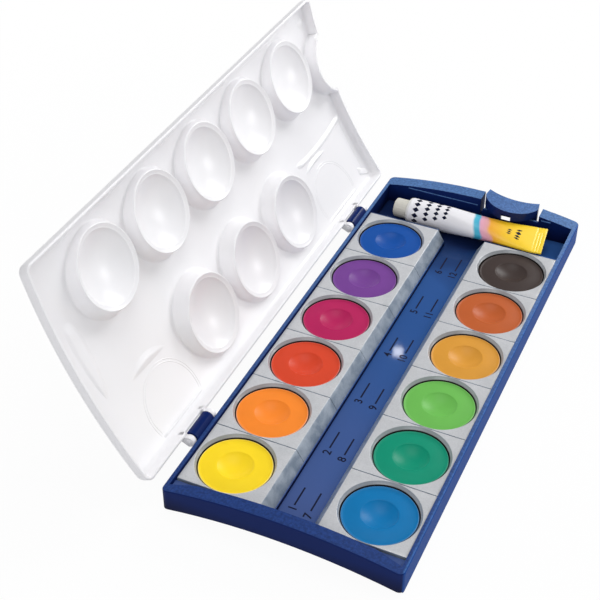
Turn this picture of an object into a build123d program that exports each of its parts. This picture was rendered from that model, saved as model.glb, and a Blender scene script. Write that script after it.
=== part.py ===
"""Gouache paint set box: a low blue tray with twelve paint pans, a tube of white and a hinged mixing lid.

Millimetres, +Z up.  The origin is the middle of the tray's underside, X runs across the box with the
hinge at -X, and Y runs along it with the catch at +Y.  The lid is modelled shut and then turned open
about its hinge by open_angle, which is how it stands at rest.
"""
from build123d import *
from math import cos, radians, sin, sqrt
import os

# --- driving sizes: paint pans --------------------------------------------------------------------
left_colours = ["yellow", "orange", "red", "magenta", "violet", "ultramarine"]
right_colours = ["cyan", "turquoise", "green", "ochre", "sienna", "umber"]
pan_pitch = 33.0            # spacing of the pans along a row
pan_gap = 0.3               # play between neighbouring pans, and between pans and tray
pan_width = 35.3            # across the box, top face only
pan_top = 9.8               # height of the pans' top face above the table
pan_wall = 1.0
well_offset = 0.75          # the round well sits this much nearer the long wall than the pan's middle
well_mouth = 16.1           # radius of the well at the top face
well_radius = 15.3          # radius of the well round the cake
ring_depth = 1.4            # height of the sloping ring between the two
cake_radius = 15.0
cake_thickness = 3.4
dimple_radius = 7.2
dimple_depth = 0.55
slope_run = 3.5             # the pan's inner face leans out by this much towards the trough

# --- driving sizes: tray --------------------------------------------------------------------------
trough_half = 8.4           # from the middle to the foot of the pans' sloping faces
side_wall = 2.0
floor_thickness = 1.6
rail_height = 2.2           # low rails along the trough, which carry the pans' inner lips
rail_width = 1.5
rim_height = 10.65          # height of the long walls
arch_rise = 5.0             # the end walls and the lid rise by this much in the middle
foot_lift = 0.5             # the end walls' lower edges follow the same arch from this height
floor_bevel = 3.4           # length of the bevel under the floor's near end
near_wall = 5.8             # thickness of the hollow near end wall, over its top face
near_gap = 3.25             # between the near wall and the first pans
corner_relief = 2.0         # the near wall thins by this much towards its corners
lip_half = 37.0             # half length of the near wall's straight inner edge
end_shelf = 8.8             # height of the shelf between the near wall and the first pans
thumb_radius = 5.6          # round recess in the trough's near end
thumb_depth = 0.8
thumb_place = (-2.3, 5.7)   # off the middle, and from the near wall
tube_bay = 25.75            # clear length of the compartment at the far end
far_wall = 7.8
skin = 1.4                  # skins of the hollow end walls
divider = 1.2               # low wall between pans and tube
divider_top = 9.0
sill = 1.2                  # low wall across the catch's bay
sill_height = 6.4
ledge = 0.8                 # small step along the far wall's inner face
ledge_height = 12.0
corner_radius = 2.5
rim_round = 0.6

# --- driving sizes: hinge -------------------------------------------------------------------------
hinge_out = 2.5             # from the tray's long wall to the hinge line
hinge_height = 10.2
hinge_spacing = 161.6       # between the two hinges
hinge_shift = -2.7          # middle of the two, along the box
barrel_radius = 2.9
barrel_length = 13.5
pin_radius = 1.3
pin_play = 0.08             # radial clearance of the pins and trunnions in their bores
snap_mouth = 2.1            # opening under a barrel, through which the pin snaps in
lug_thickness = 2.4
lug_radius = 2.4
lug_web = 4.4               # height of a lug's foot on the lid's wall
hinge_gap = 0.3
open_angle = 115.5          # how far the lid stands open

# --- driving sizes: lid ---------------------------------------------------------------------------
lid_gap = 0.25              # between tray rim and shut lid
lid_wall = 1.3
lid_depth = 5.8             # outer height of the lid's long walls
lid_round = 3.0             # outer rounding of its top edges
lid_corner = 3.3            # and of its upright corners
lid_setback = 1.5           # the lid ends this much short of the tray's far end
notch_gap = 0.5             # between the catch and the lid's curved wall behind it
notch_rim = 12.3            # lower edge of that wall when the lid is shut
cup_row = 25.0              # mixing cups: distance of both rows from the middle
cup_pitch = 40.9
cups_in_row = {1: 5, -1: 3}  # along the free edge, and along the hinge
cup_rim = 17.2              # radius of a cup's rim
cup_foot = 20.0             # radius where its outer cone would meet the lid's top
cup_height = 13.6           # height of the cups' rims above the table when the lid is shut
bowl_depth = 5.0

# --- driving sizes: catch -------------------------------------------------------------------------
catch_middle = 15.9         # the catch sits off centre, away from the hinge
catch_width = 25.6
catch_gap = 2.1             # at each side of the catch
catch_proud = 1.8           # how far its top stands above the end wall's arch
catch_recess = 3.5          # depth of the thumb recess in its outer face
catch_bulge = 10.1          # how far its inner face swells into the box
catch_tip = 4.8             # thickness of the catch at its two tips
catch_flare = 0.6           # it is this much wider at each side where its inner face begins
catch_wall = 1.4
catch_foot = 11.8           # height of the lower edge of its inner face
catch_skirt = 6.5           # height of the lower edge of its outer face
trunnion_radius = 1.2
trunnion_in = 4.1           # from the tray's outer end face to the trunnions
trunnion_height = 5.0
ear_radius = 2.6
window_width = 4.8
window_top = 14.7
hook_width = 4.2
hook_nose = 1.6             # height of the nose that snaps under the window's top edge
hook_bite = 0.8             # how far it reaches into the window

# --- driving sizes: tube --------------------------------------------------------------------------
tube_radius = 6.5
tube_round = 21.0           # length that stays round
tube_length = 64.0          # shoulder to the start of the crimp
crimp_length = 4.5
crimp_thickness = 1.2
crimp_width = 20.2
shoulder_length = 1.6
neck_radius = 3.1
neck_length = 5.6
cap_radius = 4.7
cap_length = 6.8
cap_wall_gap = 0.15
cap_flutes = 24
tube_yaw = -1.6             # degrees: how askew it lies
tube_tilt = 1.3
tube_roll = 1.5
tube_bend = 0.9             # the flat end rises this much above the tube's axis
tube_skew = 8.0             # degrees: how far the crimp was folded off square
tube_from_wall = 10.9       # from the hinge side's outer face to the cap's end face
tube_from_pans = 12.15      # from the end of the rows to the cap's middle

# --- worked out from them -------------------------------------------------------------------------
half_width = trough_half + slope_run + pan_width + pan_gap + side_wall
row_length = pan_pitch * len(left_colours)
tray_length = near_wall + near_gap + row_length + tube_bay + far_wall
near_y = -tray_length / 2
far_y = tray_length / 2
near_inner = near_y + near_wall
far_inner = far_y - far_wall
lid_far = far_y - lid_setback
row_near = near_inner + near_gap
row_far = row_near + row_length
pan_length = pan_pitch - pan_gap
pan_inner_x = trough_half + slope_run
pan_outer_x = pan_inner_x + pan_width
pan_middle_x = (pan_inner_x + pan_outer_x) / 2 + well_offset
rail_top = floor_thickness + rail_height
cake_floor = pan_top - ring_depth - cake_thickness
hinge_x = -half_width - hinge_out
lid_rim = rim_height + lid_gap
arch_radius = (half_width ** 2 + arch_rise ** 2) / (2 * arch_rise)
bay_half = catch_width / 2 + catch_gap
trunnion_y = far_y - trunnion_in
catch_wide = catch_width / 2 + catch_flare
catch_arc = (catch_wide ** 2 + catch_bulge ** 2) / (2 * catch_bulge)
catch_centre_y = far_y - catch_tip - catch_bulge + catch_arc


def arch(x):
    """Height that the end walls and the lid gain at x: a round arch over the whole width."""
    return arch_rise - arch_radius + sqrt(arch_radius ** 2 - x ** 2)


def dished(mouth, depth, r):
    """Height above its lowest point, at radius r, of a round dish of this mouth radius and depth."""
    ball = (mouth ** 2 + depth ** 2) / (2 * depth)
    return ball - sqrt(ball ** 2 - r ** 2)


def block(x0, x1, y0, y1, z0, z1):
    """A plain box between two corners."""
    return Pos((x0 + x1) / 2, (y0 + y1) / 2, (z0 + z1) / 2) * Box(x1 - x0, y1 - y0, z1 - z0)


def end_plane(y):
    """The upright plane across the box at y, seen from the near end."""
    return Plane(origin=(0, y, 0), x_dir=(1, 0, 0), z_dir=(0, -1, 0))


def along(profile, y0, y1):
    """A profile drawn on the end plane, carried along the box from y0 to y1."""
    return extrude(end_plane(y0) * profile, amount=y1 - y0, dir=(0, 1, 0))


def vaulted(half, z_bottom, z_spring, y0, y1, bottom_rise=0.0, top_rise=arch_rise):
    """A block with straight sides and an arched top; its underside is flat or arched."""
    low = Line((-half, z_bottom), (half, z_bottom))
    if bottom_rise:
        low = ThreePointArc((-half, z_bottom), (0, z_bottom + bottom_rise), (half, z_bottom))
    sides = Line((half, z_bottom), (half, z_spring)) + Line((-half, z_spring), (-half, z_bottom))
    top = ThreePointArc((half, z_spring), (0, z_spring + top_rise), (-half, z_spring))
    return along(make_face(low + sides + top), y0, y1)


def hinge_barrel(y):
    """A round barrel on the tray's long wall, open underneath so that the lid's pin snaps in."""
    y0, y1 = y - barrel_length / 2, y + barrel_length / 2
    ring = Pos(hinge_x, hinge_height) * (Circle(barrel_radius) - Circle(pin_radius + pin_play))
    mouth = Pos(hinge_x, hinge_height - barrel_radius) * Rectangle(snap_mouth, 2 * barrel_radius)
    web = Pos(hinge_x + hinge_out / 2 + pin_radius / 2 + 0.4, hinge_height - barrel_radius / 2) * Rectangle(
        hinge_out - pin_radius - 0.4, barrel_radius
    )
    return along(ring - mouth + (web - Pos(hinge_x, hinge_height) * Circle(pin_radius + pin_play)), y0, y1)


def base_tray():
    """The moulded tray: long walls, hollow arched end walls, floor, rails, divider and hinge barrels."""
    tray = vaulted(half_width, 0, rim_height, near_y, far_y)
    tray = fillet(tray.edges().filter_by(Axis.Z), corner_radius)
    rim_edges = tray.edges().filter_by(lambda e: e.center().Z > rim_height - 1)
    tray = fillet(rim_edges, rim_round)
    inner = half_width - side_wall
    tall = rim_height + arch_rise + 1
    tray -= block(-inner, inner, near_inner, far_inner, floor_thickness, tall)
    for side in (-1, 1):
        taper = make_face(Polyline(
            (side * lip_half, near_inner), (side * inner, near_inner - corner_relief),
            (side * inner, near_inner + 1), (side * lip_half, near_inner + 1), close=True,
        ))
        tray -= Pos(0, 0, floor_thickness) * extrude(taper, amount=tall, dir=(0, 0, 1))
        shelf = sorted((side * (trough_half + rail_width), side * inner))
        tray += block(shelf[0], shelf[1], near_inner - corner_relief, row_near - pan_gap, floor_thickness, end_shelf)
    tray -= Pos(thumb_place[0], near_inner + thumb_place[1], floor_thickness) * Cylinder(thumb_radius, 2 * thumb_depth)
    # the end walls are hollow from below, and their outer skins are arched at the foot
    for outer, inward, half in ((near_y, near_inner, lip_half), (far_y, far_inner, inner)):
        step = 1 if inward > outer else -1
        y0, y1 = sorted((outer + step * skin, inward - step * skin))
        tray -= vaulted(half - skin, -1, rim_height - skin, y0, y1)
        y0, y1 = sorted((outer - step, outer + step * skin))
        tray -= vaulted(half_width, -1, foot_lift, y0, y1)
    # the floor's near end is cut away below the arch
    low = near_inner - skin
    bevel = Polyline((near_y - 1, -1), (near_y - 1, foot_lift), (low, 2.4), (low + floor_bevel, 0), (low + floor_bevel, -1),
                     close=True)
    tray -= extrude(Plane(origin=(-inner, 0, 0), x_dir=(0, 1, 0), z_dir=(1, 0, 0)) * make_face(bevel),
                    amount=2 * inner)
    # rails along the trough and the low divider before the tube
    for side in (-1, 1):
        rail = sorted((side * (trough_half - pan_gap), side * (trough_half - pan_gap + rail_width)))
        tray += block(rail[0], rail[1], near_inner, row_far, floor_thickness, rail_top)
        rib = sorted((side * pan_inner_x, side * inner))
        tray += block(rib[0], rib[1], row_far + pan_gap, row_far + pan_gap + divider, floor_thickness, divider_top)
        step_in = sorted((side * lip_half, catch_middle + side * (bay_half + skin)))
        tray += block(step_in[0], step_in[1], far_inner - ledge, far_inner, ledge_height - ledge, ledge_height)
    # the catch's bay: two cheeks with trunnion bores, open between them
    cheek = bay_half + skin
    cheeks = vaulted(half_width, floor_thickness / 2, rim_height - skin / 2, far_inner, far_y - skin)
    tray += cheeks & block(catch_middle - cheek, catch_middle + cheek, far_inner, far_y, 0, tall)
    tray -= block(catch_middle - bay_half, catch_middle + bay_half, far_inner - ledge, far_y + 1, -1, tall)
    bore = Plane(origin=(catch_middle, trunnion_y, trunnion_height), z_dir=(1, 0, 0)) * Cylinder(
        trunnion_radius + pin_play, 2 * cheek + 1
    )
    tray -= bore
    tray += block(catch_middle - bay_half, catch_middle + bay_half, far_inner - sill / 3, far_inner + sill * 2 / 3,
                  0, sill_height)
    for side in (-1, 1):
        tray += hinge_barrel(hinge_shift + side * hinge_spacing / 2)
    return tray


def paint_pan(side, index):
    """One square pan: a moulded shell with a sloping inner face and a round well."""
    y0 = row_near + index * pan_pitch + pan_gap / 2
    y1 = y0 + pan_length
    lip = trough_half + rail_width
    outside = Polyline(
        (pan_outer_x, floor_thickness), (pan_outer_x, pan_top), (pan_inner_x, pan_top),
        (trough_half, rail_top), (lip, rail_top), (lip, floor_thickness), close=True,
    )
    lean = slope_run / (pan_top - rail_top)
    slope_wall = pan_wall * sqrt(1 + lean ** 2)
    roof = pan_top - pan_wall
    inner_lip = lip + pan_wall
    bend = rail_top + (inner_lip - trough_half - slope_wall) / lean
    inside = Polyline(
        (pan_outer_x - pan_wall, 0), (pan_outer_x - pan_wall, roof),
        (pan_inner_x - pan_wall * lean + slope_wall, roof), (inner_lip, bend), (inner_lip, 0), close=True,
    )
    pan = along(make_face(outside), y0, y1) - along(make_face(inside), y0 + pan_wall, y1 - pan_wall)
    place = Pos(pan_middle_x, (y0 + y1) / 2, 0)
    well_top = pan_top - ring_depth
    cup_base = cake_floor - pan_wall
    cup_outer = min(well_radius + pan_wall, pan_length / 2)
    pan += place * Pos(0, 0, cup_base) * Cylinder(
        cup_outer, roof - cup_base, align=(Align.CENTER, Align.CENTER, Align.MIN)
    )
    well = revolve(
        Plane.XZ * make_face(Polyline(
            (0, cake_floor), (well_radius, cake_floor), (well_radius, well_top),
            (well_mouth, pan_top), (well_mouth, pan_top + 1), (0, pan_top + 1), close=True,
        )),
        axis=Axis.Z,
    )
    pan -= place * well
    return pan if side > 0 else mirror(pan, about=Plane.YZ)


def paint_cake(side, index):
    """A pressed tablet of paint: a thin raised edge, a nearly flat face and a round dished middle."""
    top = cake_floor + cake_thickness
    edge = 0.35
    halfway = top - dimple_depth + dished(dimple_radius, dimple_depth - edge, dimple_radius / 2)
    face = make_face(
        Polyline(
            (0, top - dimple_depth), (0, cake_floor), (cake_radius, cake_floor),
            (cake_radius, top - edge), (cake_radius - edge, top), (cake_radius - 2 * edge, top),
            (cake_radius - 3 * edge, top - edge / 2), (dimple_radius + edge, top - edge / 4),
            (dimple_radius, top - edge),
        )
        + ThreePointArc((dimple_radius, top - edge), (dimple_radius / 2, halfway), (0, top - dimple_depth))
    )
    cake = revolve(Plane.XZ * face, axis=Axis.Z)
    middle_y = row_near + (index + 0.5) * pan_pitch
    return Pos(side * pan_middle_x, middle_y, 0) * cake


def mixing_cup():
    """A bowl with a sharp rim on a round cone, standing down from the shut lid."""
    high = lid_rim + lid_depth + arch_rise
    bowl_top = cup_height + bowl_depth
    wall = lid_wall
    lean = (cup_foot - cup_rim) / (high - cup_height)
    back = cup_height + 1.5 * wall
    back_r = cup_rim + lean * (back - cup_height) - wall
    rim_in = cup_rim - 0.9
    back_top = bowl_top + wall
    profile = make_face(
        ThreePointArc((0, bowl_top), (rim_in / 2, bowl_top - dished(rim_in, bowl_depth, rim_in / 2)),
                      (rim_in, cup_height))
        + Polyline((rim_in, cup_height), (cup_rim, cup_height), (cup_foot, high), (cup_foot - wall, high),
                   (back_r, back))
        + ThreePointArc((back_r, back), (back_r / 2, back_top - dished(back_r, back_top - back, back_r / 2)),
                        (0, back_top))
        + Line((0, back_top), (0, bowl_top))
    )
    plug = make_face(Polyline(
        (0, cup_height - 1), (cup_rim - 0.3, cup_height - 1), (cup_rim - 0.3, cup_height),
        (cup_foot - 0.3, high), (0, high), close=True,
    ))
    return revolve(Plane.XZ * profile, axis=Axis.Z), revolve(Plane.XZ * plug, axis=Axis.Z)


def hinge_lug(y, side):
    """A lug of the lid beside a hinge barrel, with its half of the pin."""
    near = y + side * (barrel_length / 2 + hinge_gap)
    y0, y1 = sorted((near, near + side * lug_thickness))
    clear = lid_rim + arch(half_width - lid_wall)
    lug = Pos(hinge_x, hinge_height) * Circle(lug_radius)
    web = make_face(Polyline(
        (hinge_x - lug_radius, hinge_height), (hinge_x + lug_radius, hinge_height), (hinge_x + lug_radius, clear),
        (-half_width + lid_wall, clear), (-half_width + lid_wall, clear + lug_web),
        (-half_width, clear + lug_web), (hinge_x - lug_radius, hinge_height + 1.2), close=True,
    ))
    return along(lug + web, y0, y1)


def lid():
    """The vaulted lid with its mixing cups, hinge lugs and hook, shut, then turned open."""
    outside = vaulted(half_width, lid_rim, lid_rim + lid_depth, near_y, lid_far, bottom_rise=arch_rise)
    outside = fillet(outside.edges().filter_by(Axis.Z), lid_corner)
    top_edges = outside.edges().filter_by(lambda e: e.center().Z > lid_rim + lid_depth - 0.5)
    outside = fillet(top_edges, lid_round)
    inner = half_width - lid_wall
    hollow = vaulted(inner, lid_rim - 1, lid_rim + lid_depth - lid_wall, near_y + lid_wall, lid_far - lid_wall)
    hollow = fillet(hollow.edges().filter_by(Axis.Z), lid_corner - lid_wall)
    hollow_top = hollow.edges().filter_by(lambda e: e.center().Z > lid_rim + lid_depth - lid_wall - 0.3)
    hollow = fillet(hollow_top, lid_round - lid_wall)
    cover = outside - hollow
    cup, plug = mixing_cup()
    for side, count in cups_in_row.items():
        for i in range(count):
            place = Pos(side * cup_row, (i - (count - 1) / 2) * cup_pitch, 0)
            cover -= place * plug
            cover += (place * cup) & outside
    # the curved wall that goes down behind the catch, and the hook's nose on it
    face = catch_arc + notch_gap
    back = face + lid_wall
    tall = lid_rim + lid_depth + arch_rise
    stand = Pos(catch_middle, catch_centre_y, 0)
    round_notch = stand * Cylinder(face, 2 * tall)
    curved = stand * (Cylinder(back, 2 * tall) - Cylinder(face, 2 * tall))
    low_half = bay_half - lid_gap
    low = block(catch_middle - low_half, catch_middle + low_half, near_y, catch_centre_y - lid_wall, notch_rim,
                lid_rim + arch_rise)
    cover -= round_notch
    cover += curved & outside
    cover += curved & low
    face_y = catch_centre_y - face
    nose_top = window_top - 0.3
    reach = face_y + notch_gap + hook_bite
    nose = Polyline((face_y - 0.3, nose_top), (reach, nose_top), (reach, nose_top - 0.5),
                    (face_y - 0.3, nose_top - hook_nose), close=True)
    cover += extrude(Plane(origin=(catch_middle - hook_width / 2, 0, 0), x_dir=(0, 1, 0), z_dir=(1, 0, 0))
                     * make_face(nose), amount=hook_width)
    for side in (-1, 1):
        y = hinge_shift + side * hinge_spacing / 2
        clear = barrel_radius + hinge_gap
        cover -= along(Pos(hinge_x, hinge_height) * Circle(clear),
                       y - barrel_length / 2 - hinge_gap, y + barrel_length / 2 + hinge_gap)
        for end in (-1, 1):
            cover += hinge_lug(y, end)
        half_pin = barrel_length / 2 + hinge_gap + lug_thickness / 2
        cover += along(Pos(hinge_x, hinge_height) * Circle(pin_radius), y - half_pin, y + half_pin)
    return cover.rotate(Axis((hinge_x, 0, hinge_height), (0, 1, 0)), -open_angle)


def lid_catch():
    """The springy catch: a crescent cap over two skins, on two trunnions in the tray's bay."""
    half = catch_width / 2
    tip_in = far_y - catch_tip
    outline = make_face(
        ThreePointArc((-half, far_y), (0, far_y - catch_recess), (half, far_y))
        + Line((half, far_y), (catch_wide, tip_in))
        + ThreePointArc((catch_wide, tip_in), (0, tip_in - catch_bulge), (-catch_wide, tip_in))
        + Line((-catch_wide, tip_in), (-half, far_y))
    )
    core = offset(outline, amount=-catch_wall, kind=Kind.INTERSECTION)
    place = Pos(catch_middle, 0, 0)
    top = vaulted(half_width, 0, rim_height + catch_proud, near_y, far_y + 1)
    under = vaulted(half_width, 0, rim_height + catch_proud - catch_wall, near_y, far_y + 1)
    full = rim_height + arch_rise + catch_proud + 1
    body = place * extrude(outline, amount=full) & top
    body -= place * extrude(core, amount=full) & under
    # the inner face ends above the tube, the outer face above the trunnions, and two ears go down
    ear_in = tip_in + 0.5
    body -= block(catch_middle - catch_wide - 1, catch_middle + catch_wide + 1, near_y, ear_in, -1, catch_foot)
    body -= block(catch_middle - half + catch_wall, catch_middle + half - catch_wall, ear_in - 1, far_y + 1,
                  -1, catch_skirt)
    body -= block(catch_middle - catch_wide - 1, catch_middle + catch_wide + 1, ear_in - 1, far_y + 1, -1,
                  trunnion_height)
    body -= block(catch_middle - window_width / 2, catch_middle + window_width / 2, near_y, tip_in - 2,
                  -1, window_top)
    ear_half = half + catch_flare * trunnion_in / catch_tip
    for side in (-1, 1):
        outer = catch_middle + side * ear_half
        ear = Plane(origin=(outer - side * catch_wall / 2, trunnion_y, trunnion_height), z_dir=(1, 0, 0))
        body += ear * Cylinder(ear_radius, catch_wall)
        reach = bay_half - ear_half + skin * 0.8
        stub = Plane(origin=(outer + side * (reach - catch_wall / 2) / 2, trunnion_y, trunnion_height),
                     z_dir=(1, 0, 0))
        body += stub * Cylinder(trunnion_radius, reach + catch_wall / 2)
    return body


def tube_place():
    """Where the tube lies: its own axis is X, from the cap's end face to the crimp."""
    return Location((tube_from_wall - half_width, row_far + tube_from_pans, floor_thickness + tube_radius + 0.1)) * Location((0, 0, 0), (0, -tube_tilt, tube_yaw))


def across(s, skew=0.0):
    """The plane across the tube at s along its axis, turned off square by skew degrees."""
    c, w = cos(radians(skew)), sin(radians(skew))
    return Plane(origin=(s, 0, 0), x_dir=(-w, c, 0), z_dir=(c, w, 0))


def tube_body():
    """The filled sleeve: round behind the shoulder, then flatter and wider to the folded crimp."""
    start = cap_length + 0.1 + shoulder_length
    turn = start + tube_round
    end = start + tube_length
    sleeve = extrude(across(start) * Circle(tube_radius), amount=tube_round)
    sections = []
    steps = 5
    for i in range(steps + 1):
        t = i / steps
        wide = tube_radius + (crimp_width / 2 - tube_radius) * t
        thin = tube_radius + (crimp_thickness / 2 - tube_radius) * t ** 1.05
        roll = Rot(tube_roll * t, 0, 0) * Pos(0, 0, tube_bend * t ** 2)
        sections.append(roll * across(turn + (end - turn) * t, tube_skew * t ** 2) * Ellipse(wide, thin))
    sleeve += loft(sections)
    crimp = Rot(tube_roll, 0, 0) * Pos(end, 0, tube_bend) * Rot(0, 0, tube_skew) * Pos(crimp_length / 2, 0, 0) * Box(
        crimp_length, crimp_width, crimp_thickness
    )
    return tube_place() * (sleeve + crimp)


def tube_shoulder():
    """The moulded shoulder with its neck."""
    start = cap_length + 0.1
    cone = revolve(
        make_face(Polyline((start, 0), (start, neck_radius + 0.8), (start + 0.2, tube_radius - 0.9),
                           (start + shoulder_length - 0.5, tube_radius - 0.1),
                           (start + shoulder_length, tube_radius - 0.1),
                           (start + shoulder_length, 0), close=True)),
        axis=Axis.X,
    )
    neck = extrude(across(start - neck_length) * Circle(neck_radius), amount=neck_length)
    return tube_place() * (cone + neck)


def tube_cap():
    """The fluted screw cap over the neck."""
    cap = extrude(across(0) * Circle(cap_radius), amount=cap_length)
    cap = chamfer(cap.edges().group_by(Axis.X)[0], 0.5)
    depth = neck_length + cap_wall_gap
    cap -= extrude(across(cap_length - depth) * Circle(neck_radius + cap_wall_gap), amount=depth)
    for i in range(cap_flutes):
        angle = 360 * i / cap_flutes
        cap -= Rot(angle, 0, 0) * Pos(cap_length / 2 + 1.0, cap_radius + 0.12, 0) * Box(cap_length, 0.5, 0.5)
    return tube_place() * cap


def main():
    os.makedirs("parts", exist_ok=True)
    nodes = {"base_tray": base_tray(), "lid": lid(), "lid_catch": lid_catch()}
    for side, colours in ((-1, left_colours), (1, right_colours)):
        for i, colour in enumerate(colours):
            nodes["pan_" + colour] = paint_pan(side, i)
            nodes["cake_" + colour] = paint_cake(side, i)
    nodes["tube_body"] = tube_body()
    nodes["tube_shoulder"] = tube_shoulder()
    nodes["tube_cap"] = tube_cap()
    for name, shape in nodes.items():
        export_step(shape, "parts/" + name + ".step")
    print(len(nodes), "nodes, tray", 2 * half_width, "by", tray_length, "mm")


main()
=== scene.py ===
# %% [markdown]
# # A gouache paint box, from CAD frame to picture
#
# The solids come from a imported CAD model, which is loaded as a fixed frame. This lesson adds what a
# camera would see: finely grained blue plastic, a milky lid, satin pans, pressed paint and a small
# printed tube. The frame is in metres: X across the box, Y along it, Z up. Shapes are worked out in
# millimetres and turned into metres when they become a mesh.

from math import cos, hypot, pi, radians, sin, sqrt

import bmesh
import bpy
import numpy as np
from mathutils import Matrix, Vector
from mathutils.geometry import delaunay_2d_cdt


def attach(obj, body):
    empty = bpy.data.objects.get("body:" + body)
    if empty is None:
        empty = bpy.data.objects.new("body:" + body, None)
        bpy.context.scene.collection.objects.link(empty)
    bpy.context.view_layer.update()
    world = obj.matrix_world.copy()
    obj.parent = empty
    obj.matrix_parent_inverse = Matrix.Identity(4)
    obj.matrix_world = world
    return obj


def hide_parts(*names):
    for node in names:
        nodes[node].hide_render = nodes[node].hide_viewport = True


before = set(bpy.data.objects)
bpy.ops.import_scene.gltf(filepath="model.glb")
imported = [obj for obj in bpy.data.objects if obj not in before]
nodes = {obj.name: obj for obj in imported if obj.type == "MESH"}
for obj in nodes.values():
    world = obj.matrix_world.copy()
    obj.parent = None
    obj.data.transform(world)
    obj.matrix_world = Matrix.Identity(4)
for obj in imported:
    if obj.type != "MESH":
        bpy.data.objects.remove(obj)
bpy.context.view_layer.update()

# %% [markdown]
# ## Colours and nodes
#
# Colours are written as the hex codes a picture editor shows, while a renderer works in linear light, so
# one function undoes the sRGB curve. Shader nodes could be placed by hand in the editor. Written out they
# stay with the lesson, and one function that adds a node with its settings and links is all it takes.

# %% Colours and nodes
MM = 0.001
PER_MM = 1 / MM  # a noise's Scale counts cells in a metre: 0.9 * PER_MM is 0.9 cells in a millimetre


def paint(code):
    """Linear RGBA of an sRGB hex code: c / 12.92 up to 0.04045, else ((c + 0.055) / 1.055) ** 2.4."""
    shares = [int(code[i : i + 2], 16) / 255 for i in (1, 3, 5)]
    return (*[c / 12.92 if c <= 0.04045 else ((c + 0.055) / 1.055) ** 2.4 for c in shares], 1.0)


def feed(tree, node, *values, **named):
    """Gives a node's inputs what they need: values go to the inputs in use in their order, named ones by
    name, with _ for a space. A node or socket is linked, a hex code is painted, all else is set."""
    in_use = [socket for socket in node.inputs if socket.enabled]
    by_name = {socket.name.replace(" ", "_"): socket for socket in reversed(in_use)}
    for socket, value in [*zip(in_use, values), *((by_name[name], v) for name, v in named.items())]:
        if isinstance(value, bpy.types.Node):
            value = next(out for out in value.outputs if out.enabled)
        if isinstance(value, bpy.types.NodeSocket):
            tree.links.new(value, socket)
        else:
            socket.default_value = paint(value) if isinstance(value, str) else value


def add(tree, kind, *values, **named):
    """Adds one node. Names in small letters are its own settings, all the rest goes to its inputs."""
    node = tree.nodes.new("ShaderNode" + kind)
    for name in [name for name in named if name.islower()]:
        setattr(node, name, named.pop(name))
    feed(tree, node, *values, **named)
    return node


def new_material(name, colour, **inputs):
    """A material with one Principled shader, whose constant inputs sit on its own sockets."""
    mat = bpy.data.materials.new(name)
    mat.use_nodes = True
    mat.diffuse_color = paint(colour)
    shader = mat.node_tree.nodes["Principled BSDF"]
    feed(mat.node_tree, shader, Base_Color=colour, **inputs)
    return mat, mat.node_tree, shader


def wear(node_name, material):
    """Gives a CAD node one material and leaves its mesh alone."""
    mesh = nodes[node_name].data
    mesh.materials.clear()
    mesh.materials.append(material)


print("white is", paint("#ffffff"), "and mid grey", round(paint("#808080")[0], 3))

# %% [markdown]
# ## Camera
#
# The camera stands where the photograph was taken. Its place, turn and lens were found by fitting the
# box's straight edges and the twelve round wells, which is surer than turning it by eye.

# %% Camera
cam_data = bpy.data.cameras.new("camera")
cam_data.lens = 75.245
cam_data.sensor_width = 36.0
cam_data.clip_start, cam_data.clip_end = 0.01, 20
cam = bpy.data.objects.new("camera", cam_data)
cam.location = (0.13514, -0.39608, 0.36421)
cam.rotation_euler = (radians(51.4517), radians(-0.1242), radians(24.704))
bpy.context.scene.collection.objects.link(cam)
bpy.context.scene.camera = cam
print("camera at", [round(v, 3) for v in cam.location], "with a", cam_data.lens, "mm lens")

# %% [markdown]
# ## Floor
#
# The box stands on a white sweep. A plain white floor would turn grey away from the lamps, so to the
# camera and to reflections this one mostly glows white. Near the box a twentieth of its own shading
# comes through, with the object's shadow in it, and fades out between 10 and 42 cm from the middle.

# %% Floor
floor_mesh = bpy.data.meshes.new("floor")
floor_mesh.from_pydata([(-3, -3, 0), (3, -3, 0), (3, 3, 0), (-3, 3, 0)], [], [(0, 1, 2, 3)])
floor = bpy.data.objects.new("floor", floor_mesh)
floor.location.z = -0.2 * MM
bpy.context.scene.collection.objects.link(floor)
floor_mat, tree, shader = new_material("pale floor", "#f4f4f6", Roughness=0.9)
ray = add(tree, "LightPath").outputs
seen = add(tree, "Math", ray["Is Camera Ray"], ray["Is Glossy Ray"], operation="MAXIMUM")
away = add(tree, "VectorMath", add(tree, "NewGeometry").outputs["Position"], operation="LENGTH")
fade = add(tree, "MapRange", away, 0.10, 0.42, 0.95, 1.0, interpolation_type="SMOOTHSTEP")
share = add(tree, "Math", seen, fade, operation="MULTIPLY")
white = add(tree, "Emission", Color=(1, 1, 1, 1), Strength=1.0)
feed(tree, tree.nodes["Material Output"], add(tree, "MixShader", share, shader, white))
floor_mesh.materials.append(floor_mat)
print("floor of", [round(v, 1) for v in floor.dimensions], "m")

# %% [markdown]
# ## World and lamps
#
# Soft, plain studio light: a pale world fills the shadows, and five square lamps shape the forms. The
# ones behind brighten the lid and the far walls, and a lamp of 13 mm gives the trough its one small
# highlight. The camera and see-through pieces meet a white world in place of the dim one.

# %% World and lamps
world = bpy.data.worlds.new("studio")
bpy.context.scene.world = world
world.use_nodes = True
tree = world.node_tree
tree.nodes.clear()
ray = add(tree, "LightPath").outputs
seen = add(tree, "Math", ray["Is Camera Ray"], ray["Is Transmission Ray"], operation="MAXIMUM")
plain = add(tree, "Background", Color=(1, 1, 1, 1), Strength=1.0)
soft = add(tree, "Background", Color=(0.97, 0.98, 1.0, 1), Strength=0.37)
add(tree, "OutputWorld", add(tree, "MixShader", seen, soft, plain))


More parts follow.
